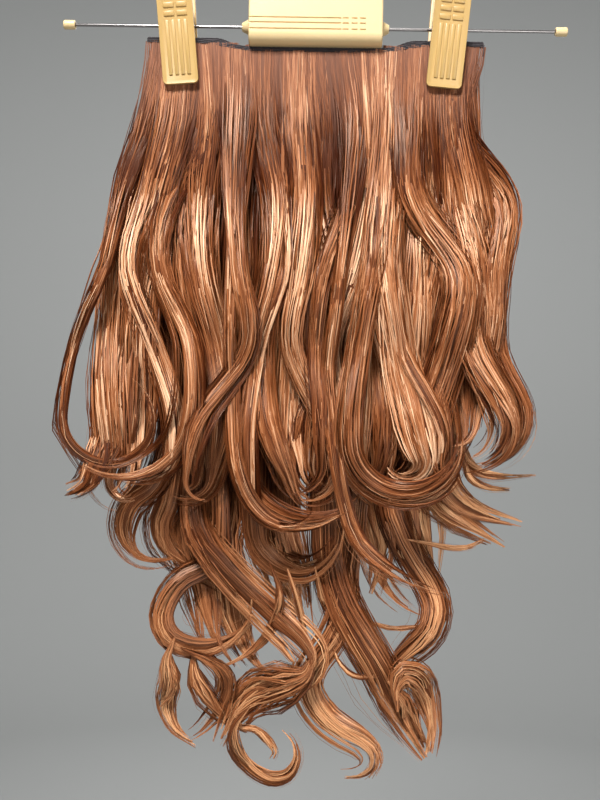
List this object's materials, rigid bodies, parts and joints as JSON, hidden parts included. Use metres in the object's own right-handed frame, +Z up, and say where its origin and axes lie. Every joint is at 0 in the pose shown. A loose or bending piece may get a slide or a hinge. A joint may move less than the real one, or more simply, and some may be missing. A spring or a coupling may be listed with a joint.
{
  "type": "hair extension on a clip hanger",
  "caption": "Sewn hair extension of waved auburn locks over longer ringlets, hung by its black bands from the ribbed clips of a cream skirt hanger with a wire hook.",
  "frame": {"origin": "underside of the hook's crown, where the hanger rests on a rail", "axes": "+X to the viewer's right along the hanger's rod, +Y away from the viewer, +Z up"},
  "size_m": [0.4026, 0.07, 0.7115],
  "materials": {
    "cream_plastic": "satin cream plastic",
    "steel": "plain drawn wire",
    "black_thread": "sewn black thread",
    "auburn_hair": "silky auburn hair",
    "auburn_hair_ends": "silky auburn hair, darker"
  },
  "bodies": {
    "root": {"front_weft_band": "black_thread", "rear_weft_band": "black_thread", "front_weft_hair": "auburn_hair", "rear_weft_hair": "auburn_hair_ends", "hanger_body": "cream_plastic", "hanger_hook": "steel", "hanger_rod": "steel", "end_cap_left": "cream_plastic", "end_cap_right": "cream_plastic", "clip_left_front_jaw": "cream_plastic", "clip_left_back_jaw": "cream_plastic", "clip_right_front_jaw": "cream_plastic", "clip_right_back_jaw": "cream_plastic"}
  },
  "joints": []
}
